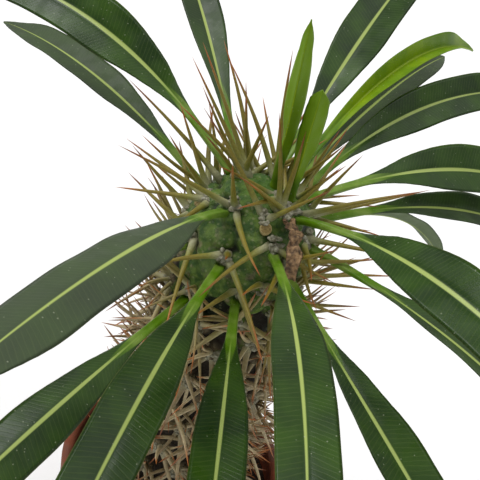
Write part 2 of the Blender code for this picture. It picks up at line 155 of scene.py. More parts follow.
def mesh_of_rings(name, rings):
    """A skin over rings of points; each ring has the same number of points."""
    size = len(rings[0])
    points = [point for ring in rings for point in ring]
    faces = []
    for row in range(len(rings) - 1):
        first, above = row * size, (row + 1) * size
        for side in range(size):
            after = (side + 1) % size
            faces.append((first + side, first + after, above + after, above + side))
    mesh = bpy.data.meshes.new(name)
    mesh.from_pydata(points, [], faces)
    mesh.shade_smooth()
    return mesh


def close_ends(mesh, size):
    bm = bmesh.new()
    bm.from_mesh(mesh)
    bm.verts.ensure_lookup_table()
    bm.faces.new(bm.verts[:size])
    bm.faces.new(bm.verts[-size:])
    bmesh.ops.recalc_face_normals(bm, faces=bm.faces)
    bm.to_mesh(mesh)
    bm.free()


print("a quarter of the way eases to", ease(0.25))

# %% [markdown]
# Finishes are node trees. A short helper places a node, sets its values and
# joins its inputs, so that each material below reads like a recipe.

# %% Helpers for finishes


def plug(tree, socket, value):
    """Join a socket to another one, or set it to a plain value."""
    if isinstance(value, bpy.types.NodeSocket):
        tree.links.new(value, socket)
    else:
        socket.default_value = value


def node(tree, kind, inputs=None, **settings):
    made = tree.nodes.new(kind)
    for key, value in settings.items():
        setattr(made, key, value)
    for key, value in (inputs or {}).items():
        plug(tree, made.inputs[key], value)
    return made


def fresh_material(name):
    mat = bpy.data.materials.new(name)
    mat.use_nodes = True
    tree = mat.node_tree
    tree.nodes.clear()
    shader = tree.nodes.new("ShaderNodeBsdfPrincipled")
    out = tree.nodes.new("ShaderNodeOutputMaterial")
    tree.links.new(shader.outputs["BSDF"], out.inputs["Surface"])
    return mat, tree, shader


def rgb(red, green, blue):
    """A colour given as 0 to 255 values, made linear."""
    def linear(value):
        value /= 255
        return value / 12.92 if value <= 0.04045 else ((value + 0.055) / 1.055) ** 2.4
    return (linear(red), linear(green), linear(blue), 1.0)


def blend(tree, factor, one, two):
    """Mix two colours; a Mix node keeps its colour sockets at places 6 and 7."""
    mixed = node(tree, "ShaderNodeMix", data_type="RGBA")
    for place, value in ((0, factor), (6, one), (7, two)):
        plug(tree, mixed.inputs[place], value)
    return mixed.outputs[2]


def calc(tree, operation, one, two=0.0):
    made = node(tree, "ShaderNodeMath", operation=operation)
    for socket, value in zip(made.inputs, (one, two)):
        plug(tree, socket, value)
    return made.outputs[0]


def share_of(tree, mask, share):
    """A weaker copy of a mask."""
    return calc(tree, "MULTIPLY", mask, share)


def fade(tree, value, low, high, to_low=0.0, to_high=1.0):
    """Ease a value between two ends."""
    made = node(tree, "ShaderNodeMapRange", interpolation_type="SMOOTHSTEP")
    tree.links.new(value, made.inputs["Value"])
    for key, number in (("From Min", low), ("From Max", high), ("To Min", to_low), ("To Max", to_high)):
        made.inputs[key].default_value = number
    return made.outputs["Result"]


def mask_of(tree, name):
    return node(tree, "ShaderNodeAttribute", attribute_name=name).outputs["Fac"]


def surface_place(tree):
    return node(tree, "ShaderNodeTexCoord").outputs["Object"]


def grain(tree, size, detail):
    """Plain noise over a surface, for its bump."""
    made = node(tree, "ShaderNodeTexNoise", {"Vector": surface_place(tree), "Scale": size, "Detail": detail})
    return made.outputs["Fac"]


def add_bump(tree, shader, height, distance):
    bump = node(tree, "ShaderNodeBump", {"Height": height, "Distance": distance})
    tree.links.new(bump.outputs["Normal"], shader.inputs["Normal"])


print("mid grey, made linear:", round(rgb(128, 128, 128)[0], 3))

# %% [markdown]
# Living surfaces are never one even colour. Two effects are shared by most
# finishes here: soft patches of a lighter tone, and tiny scattered specks. Each
# is a node group, built once, with named inputs, and puts out masks only.

# %% Shared effects: patches and specks


def new_group(name, inputs, outputs):
    group = bpy.data.node_groups.new(name, "ShaderNodeTree")
    for key, value in inputs.items():
        socket = group.interface.new_socket(key, in_out="INPUT", socket_type="NodeSocketFloat")
        socket.default_value = value
    for key in outputs:
        group.interface.new_socket(key, in_out="OUTPUT", socket_type="NodeSocketFloat")
    return group, group.nodes.new("NodeGroupInput"), group.nodes.new("NodeGroupOutput")


def build_patches():
    group, given, result = new_group("soft_patches", {"Size": 200.0, "Low": 0.4, "High": 0.65}, ["Mask"])
    cloud = grain(group, given.outputs["Size"], 5.0)
    spread = node(group, "ShaderNodeMapRange", {
        "Value": cloud, "From Min": given.outputs["Low"], "From Max": given.outputs["High"]})
    group.links.new(spread.outputs["Result"], result.inputs["Mask"])
    return group


EMPTY_SHARE = 0.6


def build_specks():
    group, given, result = new_group("fine_specks", {"Size": 900.0, "Share": 0.2}, ["Mask"])
    cells = node(group, "ShaderNodeTexVoronoi", {
        "Vector": surface_place(group), "Scale": given.outputs["Size"]})
    near = calc(group, "LESS_THAN", cells.outputs["Distance"], given.outputs["Share"])
    chosen = node(group, "ShaderNodeSeparateColor", {"Color": cells.outputs["Color"]})
    rare = calc(group, "GREATER_THAN", chosen.outputs["Red"], EMPTY_SHARE)
    group.links.new(calc(group, "MULTIPLY", near, rare), result.inputs["Mask"])
    return group


PATCHES = build_patches()
SPECKS = build_specks()


def patches(tree, size, low=0.4, high=0.65):
    made = node(tree, "ShaderNodeGroup", node_tree=PATCHES)
    made.inputs["Size"].default_value = size
    made.inputs["Low"].default_value = low
    made.inputs["High"].default_value = high
    return made.outputs["Mask"]


def specks(tree, size, share):
    made = node(tree, "ShaderNodeGroup", node_tree=SPECKS)
    made.inputs["Size"].default_value = size
    made.inputs["Share"].default_value = share
    return made.outputs["Mask"]


print("shared effects:", PATCHES.name, SPECKS.name)

# %% [markdown]
# The pot is thrown clay, so its mesh is a profile turned round the axis with the
# Screw modifier. The rim is a plain band with a rounded lip. Three drain holes
# are cut through the floor. Fired clay shows soft orange patches, darker damp
# stains, a pale bloom of salts and fine turning marks.

# %% Fired clay


def clay_finish():
    mat, tree, shader = fresh_material("fired_clay")
    colour = blend(tree, patches(tree, 60), rgb(104, 46, 22), rgb(138, 66, 34))
    damp = patches(tree, 34, 0.42, 0.62)
    colour = blend(tree, share_of(tree, damp, 0.8), colour, rgb(66, 38, 18))
    bloom = patches(tree, 45, 0.58, 0.8)
    colour = blend(tree, share_of(tree, bloom, 0.4), colour, rgb(150, 122, 92))
    colour = blend(tree, share_of(tree, specks(tree, 700, 0.18), 0.5), colour, rgb(70, 38, 26))
    tree.links.new(colour, shader.inputs["Base Color"])
    tree.links.new(fade(tree, damp, 0.0, 1.0, 0.88, 0.62), shader.inputs["Roughness"])
    turning = node(tree, "ShaderNodeTexWave", {
        "Vector": surface_place(tree), "Scale": 90.0, "Distortion": 1.2}, bands_direction="Z")
    height = calc(tree, "ADD", share_of(tree, turning.outputs["Fac"], 0.35), grain(tree, 1400.0, 3.0))
    add_bump(tree, shader, height, 0.00025)
    return mat


CLAY = clay_finish()
print("nodes in the clay finish:", len(CLAY.node_tree.nodes))

# %% [markdown]
# A potter turns a pot, and so does the Screw modifier: it swings the wall's
# profile once round the axis. The profile is a few heights and radii with arcs
# for the lip and the foot. The Boolean modifier then drills the floor.

# %% Turn the pot
PROFILE_CORNER, POT_SIDES, DRILL_SIDES, SHARP_ANGLE = 0.003, 128, 32, 35


def wall_radius(height, inset=0.0):
    taper = (RIM_RADIUS - BAND_STEP - FOOT_RADIUS) / (POT_HEIGHT - RIM_BAND)
    return FOOT_RADIUS + taper * min(height, POT_HEIGHT - RIM_BAND) - inset


def arc_points(cx, cz, radius, start, end, count):
    angles = [math.radians(start + (end - start) * i / count) for i in range(count + 1)]
    return [(cx + radius * math.cos(a), cz + radius * math.sin(a)) for a in angles]


def pot_profile():
    lip, inner, band_base = POT_WALL / 2, RIM_RADIUS - POT_WALL, POT_HEIGHT - RIM_BAND
    points = [(0.0, FLOOR_THICKNESS)]
    points += [(wall_radius(FLOOR_THICKNESS, POT_WALL) - PROFILE_CORNER, FLOOR_THICKNESS)]
    corner_top = FLOOR_THICKNESS + PROFILE_CORNER
    points += [(wall_radius(corner_top, POT_WALL), corner_top)]
    points += [(wall_radius(band_base, POT_WALL), band_base), (inner, THROAT_HEIGHT)]
    points += arc_points(inner + lip, POT_HEIGHT - lip, lip, 180, 0, 14)
    points += [(RIM_RADIUS - 0.0004, band_base + 0.003)]
    points += arc_points(RIM_RADIUS - 0.0020, band_base + 0.0016, 0.0015, 0, -90, 5)
    points += [(RIM_RADIUS - BAND_STEP, band_base - 0.0002)]
    points += arc_points(FOOT_RADIUS - 0.0012, 0.0016, 0.0016, 0, -90, 5) + [(0.0, 0.0)]
    return points


def turned_mesh(name, profile, steps):
    mesh = bpy.data.meshes.new(name)
    mesh.from_pydata([(r, 0, z) for r, z in profile], [(i, i + 1) for i in range(len(profile) - 1)], [])
    holder = bpy.data.objects.new(name, mesh)
    bpy.context.scene.collection.objects.link(holder)
    screw = holder.modifiers.new("Turn", "SCREW")
    screw.steps = screw.render_steps = steps
    screw.use_merge_vertices = True
    screw.merge_threshold = 0.00001
    screw.use_smooth_shade = True
    return holder


def applied(holder):
    """The object's mesh with its modifiers applied; the object is removed."""
    graph = bpy.context.evaluated_depsgraph_get()
    mesh = bpy.data.meshes.new_from_object(holder.evaluated_get(graph))
    bpy.data.objects.remove(holder, do_unlink=True)
    return mesh


def build_pot():
    holder = turned_mesh("pot_blank", pot_profile(), POT_SIDES)
    drills = []
    for index in range(DRAIN_COUNT):
        angle = 2 * math.pi * index / DRAIN_COUNT + math.pi / 2
        drill_mesh = bpy.data.meshes.new("drill")
        bm = bmesh.new()
        bmesh.ops.create_cone(bm, cap_ends=True, segments=DRILL_SIDES, radius1=DRAIN_RADIUS,
                              radius2=DRAIN_RADIUS, depth=FLOOR_THICKNESS * 3)
        bmesh.ops.translate(bm, verts=bm.verts, vec=(
            DRAIN_CIRCLE * math.cos(angle), DRAIN_CIRCLE * math.sin(angle), FLOOR_THICKNESS / 2))
        bm.to_mesh(drill_mesh)
        bm.free()
        drill = bpy.data.objects.new("drill", drill_mesh)
        bpy.context.scene.collection.objects.link(drill)
        drills.append(drill)
        cut = holder.modifiers.new("Drain", "BOOLEAN")
        cut.operation = "DIFFERENCE"
        cut.object = drill
    bpy.context.view_layer.update()
    mesh = applied(holder)
    for drill in drills:
        bpy.data.objects.remove(drill, do_unlink=True)
    mesh.set_sharp_from_angle(angle=math.radians(SHARP_ANGLE))
    return add_piece("clay_pot", mesh, CLAY, "pot")


pot = build_pot()
print("pot faces:", len(pot.data.polygons))

# %% [markdown]
# Potting soil is dark and crumbly. Its body is a turned ring with a hole for the
# trunk's foot, and its top is roughened with noise. Loose crumbs and grit of
# many sizes lie on it, each a small lump of its own, half sunk.

# %% Potting soil


def soil_finish():
    mat, tree, shader = fresh_material("potting_soil")
    colour = blend(tree, patches(tree, 350), rgb(30, 20, 13), rgb(58, 41, 27))
    colour = blend(tree, share_of(tree, specks(tree, 800, 0.3), 0.7), colour, rgb(110, 88, 62))
    tree.links.new(colour, shader.inputs["Base Color"])
    shader.inputs["Roughness"].default_value = 0.95
    add_bump(tree, shader, grain(tree, 900.0, 4.0), 0.0008)
    return mat


SOIL = soil_finish()
UNDER_SOIL_LEVEL, HOLE_DEPTH, SOIL_SIDES, SOIL_ROWS = 0.0006, 0.05, 220, 26


def soil_height(x, y):
    radius = math.hypot(x, y)
    slope = SOIL_SLOPE * (radius - BASE_RADIUS) / (RIM_RADIUS - POT_WALL - BASE_RADIUS)
    place = Vector((x, y, 0))
    rough = 0.0009 * noise.noise(place * 220) + 0.0006 * noise.noise(place * 600)
    return SOIL_LEVEL - UNDER_SOIL_LEVEL - slope + rough


def soil_rings():
    """Rings down the outside and back up the hole for the trunk's foot."""
    inner = BASE_RADIUS + CLEARANCE
    outer = RIM_RADIUS - POT_WALL - CLEARANCE
    rings = [ring_of(inner, SOIL_LEVEL - depth, SOIL_SIDES) for depth in (FOOT_DEPTH, FOOT_DEPTH / 2)]
    for row in range(SOIL_ROWS + 1):
        radius = inner + (outer - inner) * row / SOIL_ROWS
        rings.append([(x, y, soil_height(x, y)) for x, y, _ in ring_of(radius, 0.0, SOIL_SIDES)])
    floor = FLOOR_THICKNESS + CLEARANCE
    rings.append(ring_of(outer, THROAT_HEIGHT, SOIL_SIDES))
    for height in (POT_HEIGHT - RIM_BAND, floor + PROFILE_CORNER):
        rings.append(ring_of(wall_radius(height, POT_WALL + CLEARANCE), height, SOIL_SIDES))
    low, narrow = wall_radius(floor, POT_WALL + CLEARANCE) - PROFILE_CORNER, inner * 0.4
    for radius, height in ((low, floor), (narrow, floor), (narrow, SOIL_LEVEL - HOLE_DEPTH)):
        rings.append(ring_of(radius, height, SOIL_SIDES))
    return rings


def build_soil():
    rings = soil_rings()
    rings.append(rings[0])
    mesh = mesh_of_rings("soil_body", rings)
    bm = bmesh.new()
    bm.from_mesh(mesh)
    bmesh.ops.remove_doubles(bm, verts=bm.verts, dist=1e-7)
    bmesh.ops.recalc_face_normals(bm, faces=bm.faces)
    bm.to_mesh(mesh)
    bm.free()
    return add_piece("soil_body", mesh, SOIL, "soil")


soil = build_soil()
print("soil faces:", len(soil.data.polygons))

# %% [markdown]
# Crumbs could be scattered as instances, but real meshes also reach the exported
# model. So each crumb is a small squashed ball with its points moved at random,
# and all of them share one mesh.

# %% Crumbs and grit on the soil
CRUMB_COUNT, FINEST_CRUMB, CRUMB_RANGE = 900, 0.0004, 0.0016


def add_lump(bm, place, radius, draw, detail=1):
    start = len(bm.verts)
    bmesh.ops.create_icosphere(bm, subdivisions=detail, radius=radius)
    bm.verts.ensure_lookup_table()
    squash = Vector((draw.uniform(0.7, 1.3), draw.uniform(0.7, 1.3), draw.uniform(0.5, 0.9)))
    for vert in bm.verts[start:]:
        wobble = 1 + draw.uniform(-0.22, 0.22)
        vert.co = Vector(a * b for a, b in zip(vert.co, squash)) * wobble + place


def build_crumbs():
    draw = random.Random(11)
    bm = bmesh.new()
    for _ in range(CRUMB_COUNT):
        angle = draw.uniform(0, 2 * math.pi)
        radius = math.sqrt(draw.uniform((BASE_RADIUS + 0.001) ** 2, (RIM_RADIUS - POT_WALL - 0.002) ** 2))
        size = FINEST_CRUMB + CRUMB_RANGE * draw.random() ** 3
        x, y = radius * math.cos(angle), radius * math.sin(angle)
        add_lump(bm, Vector((x, y, soil_height(x, y) + size * 0.15)), size, draw)
    mesh = bpy.data.meshes.new("crumbs")
    bm.to_mesh(mesh)
    bm.free()
    mesh.shade_smooth()
    return add_piece("soil_crumbs", mesh, SOIL, None)


crumbs = build_crumbs()
print("crumb faces:", len(crumbs.data.polygons))

# %% [markdown]
# The trunk's skin is one surface: a side that narrows upward, leaning a little,
# and a dome on top. A point on it is named by its distance below the tip and its
# bearing. Knobs, each of which carried a leaf, follow a golden-angle spiral, and
# those of the crown sit where their leaves do.

# %% The skin and its knobs
SPIRAL_START, SKIN_LENGTH = 0.030, DOME_ARC + DOME_START - SOIL_LEVEL


def trunk_shift(height):
    climb = max((height - SOIL_LEVEL) / (TRUNK_TOP - SOIL_LEVEL - LEAN_ENDS_BELOW_TIP), 0.0)
    return TRUNK_LEAN * climb ** 1.3


def side_radius(height):
    climb = (height - SOIL_LEVEL) / (DOME_START - SOIL_LEVEL)
    return BASE_RADIUS + (SHOULDER_RADIUS - BASE_RADIUS) * min(max(climb, 0.0), 1.0)


def skin(below, bearing):
    """Point and outward normal of the smooth trunk."""
    if below < DOME_ARC:
        slope = below / DOME_ARC * math.pi / 2
        radius = SHOULDER_RADIUS * math.sin(slope)
        height = DOME_START + (TRUNK_TOP - DOME_START) * math.cos(slope)
    else:
        height = DOME_START - (below - DOME_ARC)
        radius = side_radius(height)
        slope = math.pi / 2
    out = Vector((math.cos(bearing), math.sin(bearing), 0))
    point = out * radius + Vector((trunk_shift(height), 0, height))
    normal = (out * math.sin(slope) + Vector((0, 0, 1)) * math.cos(slope)).normalized()
    return point, normal


def find_knobs():
    """Every knob as (below, bearing, has a leaf, listed spines)."""
    placed = []
    for bearing, below in [(leaf.bearing, leaf.below) for leaf in LEAVES.values()] + BARE_KNOBS:
        aims = FRONT_SPINES.get((bearing, below), [])
        placed.append((below / 1000, math.radians(bearing), (bearing, below) not in BARE_KNOBS, aims))
    centres = [skin(knob[0], knob[1])[0] for knob in placed]
    below, bearing = SPIRAL_START, 0.0
    while below < SKIN_LENGTH - KNOB_WIDTH:
        centre, _ = skin(below, bearing)
        if all((centre - other).length > KNOB_GAP for other in centres):
            placed.append((below, bearing, False, []))
            centres.append(centre)
        radius = max(math.hypot(centre.x, centre.y), SHOULDER_RADIUS * 0.5)
        below += KNOB_AREA / (2 * math.pi * radius)
        bearing += GOLDEN_ANGLE
    return placed


KNOBS = find_knobs()
print("knobs on the trunk:", len(KNOBS))

# %% [markdown]
# Near the growing point the skin is smooth and green. Lower down it has turned
# to grey-brown cork, felted on the knobs. The green and the cork are both darkened
# in the creases between knobs, as painted shade. Two masks steer this: how near a
# point lies to a knob, and how far below the tip.

# %% Bark finish


def bark_finish():
    mat, tree, shader = fresh_material("knobbly_bark")
    knob, age = mask_of(tree, "knob"), mask_of(tree, "age")
    green = blend(tree, patches(tree, 260), rgb(46, 82, 8), rgb(92, 118, 34))
    # painted shade: the green is darkened almost to black in the creases between knobs
    green = blend(tree, fade(tree, knob, 0.0, 0.55), rgb(18, 34, 3), green)
    green = blend(tree, fade(tree, age, 0.0, 0.07, 0.6, 0.0), green, rgb(66, 112, 6))
    green = blend(tree, share_of(tree, specks(tree, 500, 0.35), 0.35), green, rgb(150, 150, 110))
    cork = blend(tree, patches(tree, 300), rgb(84, 72, 50), rgb(140, 128, 98))
    cork = blend(tree, share_of(tree, specks(tree, 900, 0.3), 0.5), cork, rgb(170, 160, 135))
    # painted shade: the cork is darkened to dark brown in the creases between knobs
    cork = blend(tree, fade(tree, knob, 0.05, 0.75), rgb(40, 32, 20), cork)
    spread = calc(tree, "ADD", age, fade(tree, patches(tree, 120), 0.0, 1.0, -0.12, 0.12))
    colour = blend(tree, fade(tree, spread, 0.17, 0.36), green, cork)
    tree.links.new(colour, shader.inputs["Base Color"])
    tree.links.new(fade(tree, age, 0.1, 0.3, 0.45, 0.92), shader.inputs["Roughness"])
    height = calc(tree, "ADD", grain(tree, 420.0, 6.0), share_of(tree, grain(tree, 2200.0, 2.0), 0.4))
    add_bump(tree, shader, height, 0.0014)
    return mat


BARK = bark_finish()
print("nodes in the bark finish:", len(BARK.node_tree.nodes))

# %% [markdown]
# The real stem is a smooth barrel pushed out at every knob. So the mesh starts
# as rings on the plain skin, and each point is lifted by its distance from the
# nearest knob: up on a knob, down in a crease, with a little noise on top. This
# keeps the whole stem one closed surface, which sculpting by hand wouldn't.

# %% Raise the trunk
SKIN_SIDES, SKIN_RINGS, FIRST_RING, CREASE_DEPTH = 150, 250, 0.02, 0.0022
CROWN_DEPTH, SWELLING_GAP, SWELLING_STEP = 0.062, 0.0072, 0.00035
FOOT_STEPS, FOOT_PLAY = 5, 0.0003


def find_swellings():
    """Soft green swellings that fill the wider gaps between the crown's knobs."""
    centres = [skin(knob[0], knob[1])[0] for knob in KNOBS]
    extra, below, bearing = [], 0.006, 0.5
    while below < CROWN_DEPTH:
        centre, _ = skin(below, bearing)
        if all((centre - other).length > SWELLING_GAP for other in centres + extra):
            extra.append(centre)
        below += SWELLING_STEP
        bearing += GOLDEN_ANGLE
    return centres + extra


def foot_rings():
    """The rounded foot, which the soil hides."""
    rings = []
    for step in range(1, FOOT_STEPS + 1):
        angle = math.pi / 2 * step / FOOT_STEPS
        radius = BASE_RADIUS - FOOT_PLAY - FOOT_DEPTH * (1 - math.cos(angle))
        rings.append(ring_of(radius, SOIL_LEVEL - FOOT_DEPTH * math.sin(angle), SKIN_SIDES))
    return rings


def build_trunk():
    centres = find_swellings()
    finder = KDTree(len(centres))
    for index, centre in enumerate(centres):
        finder.insert(centre, index)
    finder.balance()
    rings, near, ages = [], [], []
    for ring in range(SKIN_RINGS + 1):
        below = SKIN_LENGTH * max(ring, FIRST_RING) / SKIN_RINGS
        fading = ease((SKIN_LENGTH - below) / (2 * KNOB_WIDTH))
        row = []
        for side in range(SKIN_SIDES):
            point, normal = skin(below, 2 * math.pi * side / SKIN_SIDES)
            gap = finder.find(point)[2]
            swell = max(1 - (gap / (KNOB_WIDTH * 1.1)) ** 2, 0.0)
            crease = CREASE_DEPTH * (1 - swell) ** 2 * fading
            rough = 0.00035 * noise.noise(point * 330) + 0.00018 * noise.noise(point * 1100)
            age = ease((below - 0.02) / 0.18)
            lift = KNOB_HEIGHT * swell ** 0.9 * fading - crease + rough * (0.4 + age)
            row.append(point + normal * lift)
            near.append(swell)
            ages.append(below / SKIN_LENGTH)
        rings.append(row)
    rings += foot_rings()
    near += [0.0] * SKIN_SIDES * FOOT_STEPS
    ages += [1.0] * SKIN_SIDES * FOOT_STEPS
    mesh = mesh_of_rings("trunk_skin", rings)
    write_mask(mesh, "knob", near)
    write_mask(mesh, "age", ages)
    close_ends(mesh, SKIN_SIDES)
    return add_piece("trunk_skin", mesh, BARK, "trunk")


trunk = build_trunk()
print("trunk faces:", len(trunk.data.polygons))

# %% [markdown]
# The leaves are long, leathery blades on round, channelled stalks, with a pale
# midrib. Each is lofted from sections along a path that rises, droops and
# sweeps. Every point keeps four masks: how far across the blade it lies, how far
# along, whether it is on the underside, and how dusty its leaf is. The finish
# reads them to place the midrib, the side veins and the stalk's bright green.
# Masks follow the bent blade, which a texture laid over the whole plant can't.

# %% Leaf finishes
SIDE_VEINS, VEIN_SLANT = 95.0, 2.6


def leaf_finish(name, dark, light, stalk, rib, back, gloss):
    mat, tree, shader = fresh_material(name)
    across, along = mask_of(tree, "across"), mask_of(tree, "along")
    under, dust = mask_of(tree, "under"), mask_of(tree, "dust")
    side = calc(tree, "ABSOLUTE", across)
    blade = blend(tree, patches(tree, 55, 0.35, 0.7), dark, light)
    slant = calc(tree, "SUBTRACT", share_of(tree, along, SIDE_VEINS), share_of(tree, side, VEIN_SLANT))
    vein = fade(tree, calc(tree, "SINE", share_of(tree, slant, 2 * math.pi)), 0.55, 1.0)
    vein = calc(tree, "MULTIPLY", vein, fade(tree, side, 0.05, 0.2))
    blade = blend(tree, share_of(tree, vein, 0.04), blade, rib)
    # painted highlight: the blade's very edge is lightened towards the midrib's pale tone
    blade = blend(tree, fade(tree, side, 0.95, 1.0, 0.0, 0.2), blade, rib)
    grey = blend(tree, 0.62, blade, rgb(84, 90, 76))
    blade = blend(tree, dust, blade, grey)
    width = fade(tree, along, 0.2, 0.9, 0.105, 0.04)
    centre = fade(tree, calc(tree, "SUBTRACT", side, width), -0.04, 0.015, 1.0, 0.0)
    colour = blend(tree, centre, blade, rib)
    behind = blend(tree, centre, back, rib)
    colour = blend(tree, under, colour, behind)
    stalked = fade(tree, along, 0.16, 0.34, 1.0, 0.0)
    green = blend(tree, share_of(tree, patches(tree, 90), 0.35), stalk, rib)
    stalk_width = fade(tree, along, 0.14, 0.3, 1.1, 0.12)
    inside = fade(tree, calc(tree, "SUBTRACT", side, stalk_width), -0.12, 0.06, 1.0, 0.0)
    colour = blend(tree, calc(tree, "MULTIPLY", stalked, inside), colour, green)
    spots = share_of(tree, specks(tree, 420, 0.12), 0.35)
    colour = blend(tree, spots, colour, rgb(170, 176, 150))
    tree.links.new(colour, shader.inputs["Base Color"])
    dull = calc(tree, "ADD", fade(tree, dust, 0.0, 1.0, 0.0, 0.28), share_of(tree, under, 0.2))
    rough = calc(tree, "ADD", fade(tree, patches(tree, 130), 0.0, 1.0, gloss, gloss + 0.12), dull)
    tree.links.new(rough, shader.inputs["Roughness"])
    pores = share_of(tree, grain(tree, 1500.0, 2.0), 0.5)
    height = calc(tree, "SUBTRACT", pores, share_of(tree, vein, 0.35))
    add_bump(tree, shader, height, 0.00007)
    shader.inputs["Specular IOR Level"].default_value = 0.22
    return mat


GREEN = leaf_finish("leathery_leaf", rgb(22, 48, 4), rgb(46, 76, 8), rgb(78, 116, 2), rgb(160, 176, 96),
                    rgb(96, 112, 78), 0.27)
FRESH = leaf_finish("young_leaf", rgb(84, 120, 0), rgb(124, 152, 4), rgb(72, 108, 0), rgb(138, 164, 22),
                    rgb(104, 138, 4), 0.42)
print("leaf finishes:", GREEN.name, FRESH.name)

# %% [markdown]
# A leaf could be a bent strip of faces, but a real blade has thickness, a keel
# under its midrib and a round stalk. So each section is a closed outline that
# changes from the stalk's round to the blade's folded strip, and the sections
# are skinned along the leaf's path. The two halves of a young leaf stand nearly
# upright, like a half-open book.

# %% Loft one leaf
LEAF_ROWS, ACROSS, PATH_STEPS, LEAF_FOOT_SUNK = 70, 7, 240, 0.0004
YOUNG_FOLD, YOUNG_OPENING = 50, 0.8
EDGE_WAVE, WAVES_ALONG, WAVE_SHIFT = 0.0003, 34, 1.6
GROOVE_DEPTH, GROOVE_WIDTH, KEEL_WIDTH = 0.0004, 0.0012, 0.0015
STALK_SWELLING, SWELLING_ENDS = 0.25, 0.03
LEAF_MESHES = []


def leaf_direction(leaf, share):
    rise = math.radians(leaf.rise - leaf.droop * share ** 1.3)
    heading = math.radians(leaf.bearing + leaf.turn + leaf.sweep * share)
    return Vector((math.cos(rise) * math.cos(heading), math.cos(rise) * math.sin(heading), math.sin(rise)))


def leaf_half_width(leaf, share):
    full = leaf.width / 2000
    width = PETIOLE_RADIUS + (full - PETIOLE_RADIUS) * ease((share - 0.10) / 0.42)
    if share > leaf.taper:
        width *= max(1 - ((share - leaf.taper) / (1 - leaf.taper)) ** 2.2, 0.0)
    return max(width, 0.0003)


def leaf_section(leaf, share, phase):
    """Points (across, up, mask, is under) of one section, over the top and back."""
    half = leaf_half_width(leaf, share)
    blade = ease((share - 0.08) / 0.24)
    opening = YOUNG_OPENING if leaf.fold > YOUNG_FOLD else 1.0
    fold = math.radians(leaf.fold * opening) * blade * (1 - 0.75 * ease((share - 0.8) / 0.2))
    stalk = PETIOLE_RADIUS * (1 + STALK_SWELLING * max(1 - share / SWELLING_ENDS, 0.0))
    count = 2 * ACROSS
    top, bottom = [], []
    for step in range(count + 1):
        x = -1 + 2 * step / count
        shift = phase + (WAVE_SHIFT if x > 0 else 0)
        wave = EDGE_WAVE * abs(x) ** 2 * math.sin(share * WAVES_ALONG + shift) * blade
        thick = BLADE_THICKNESS * (0.62 - 0.3 * abs(x))
        groove = GROOVE_DEPTH * math.exp(-(x * half / GROOVE_WIDTH) ** 2)
        line = Vector((x * half * math.cos(fold), abs(x) * half * math.sin(fold) + wave))
        keel = KEEL_DEPTH * (1 - 0.5 * share) * math.exp(-(x * half / KEEL_WIDTH) ** 2)
        bend = math.pi * (1 - step / count)
        channelled = 0.75 * math.sin(bend) - 0.35 * math.sin(bend) ** 6
        round_top = Vector((stalk * math.cos(bend), stalk * channelled))
        round_low = Vector((stalk * math.cos(bend), -stalk * math.sin(bend)))
        high = round_top.lerp(line + Vector((0, thick / 2 - groove)), blade)
        low = round_low.lerp(line - Vector((0, thick / 2 + keel)), blade)
        top.append((high.x, high.y, x, 0.0))
        bottom.append((low.x, low.y, x, 1.0))
    return top + bottom[::-1][1:-1]


def leaf_path(leaf, start):
    path = [start.copy()]
    for step in range(PATH_STEPS):
        direction = leaf_direction(leaf, (step + 0.5) / PATH_STEPS)
        path.append(path[-1] + direction * leaf.length / 1000 / PATH_STEPS)
    return path


def blade_axes(along, roll):
    """The blade's sideways and upward directions, turned by its roll."""
    flat = along.cross(Vector((0, 0, 1))).normalized()
    over = flat.cross(along).normalized()
    return flat * math.cos(roll) + over * math.sin(roll), over * math.cos(roll) - flat * math.sin(roll)


def leaf_mesh(name, leaf):
    place, normal = skin(leaf.below / 1000, math.radians(leaf.bearing))
    path = leaf_path(leaf, place + normal * (KNOB_HEIGHT - LEAF_FOOT_SUNK))
    rings, across_mask, along_mask, under_mask = [], [], [], []
    phase = sum(map(ord, name)) % 7
    for row in range(LEAF_ROWS + 1):
        share = row / LEAF_ROWS
        point = path[round(share * PATH_STEPS)]
        roll = math.radians(leaf.roll) * ease(share / 0.5)
        wide, tall = blade_axes(leaf_direction(leaf, share), roll)
        section = leaf_section(leaf, share, phase)
        rings.append([point + wide * a + tall * b for a, b, _, _ in section])
        across_mask += [x for _, _, x, _ in section]
        under_mask += [u for _, _, _, u in section]
        along_mask += [share] * len(section)
    mesh = mesh_of_rings(name, rings)
    write_mask(mesh, "across", across_mask)
    write_mask(mesh, "along", along_mask)
    write_mask(mesh, "under", under_mask)
    write_mask(mesh, "dust", [leaf.dust] * len(along_mask))
    close_ends(mesh, len(rings[0]))
    return mesh


print("points in a leaf's section:", len(leaf_section(LEAVES["leaf_01"], 0.5, 0)))

# %% [markdown]
# The nineteen grown leaves and the two young ones share that loft. Only the
# folded young ones, and one leaf that is still fresh, get the brighter green.

# %% Grow the green leaves


def build_leaves():
    for name, leaf in LEAVES.items():
        if name == "withered_leaf":
            continue
        mesh = leaf_mesh(name + "_blade", leaf)
        fresh = name.startswith("young") or name == "leaf_05"
        LEAF_MESHES.append(mesh)
        add_piece(name + "_blade", mesh, FRESH if fresh else GREEN, name)


build_leaves()
print("leaves grown:", len(LEAF_MESHES))

# %% [markdown]
# One leaf has dried up under the crown: a short, crumpled strip of brown paper.
# It is a thin ribbon along the same kind of path, twisted and creased by noise.
# Cloth could crumple it too, but noise gives the same creases each time.

# %% The withered leaf


def withered_finish():
    mat, tree, shader = fresh_material("withered_paper")
    colour = blend(tree, patches(tree, 420, 0.35, 0.65), rgb(62, 44, 26), rgb(158, 126, 88))
    colour = blend(tree, share_of(tree, patches(tree, 900, 0.5, 0.7), 0.6), colour, rgb(96, 62, 38))
    tree.links.new(colour, shader.inputs["Base Color"])
    shader.inputs["Roughness"].default_value = 0.8
    add_bump(tree, shader, grain(tree, 700.0, 5.0), 0.0008)
    return mat


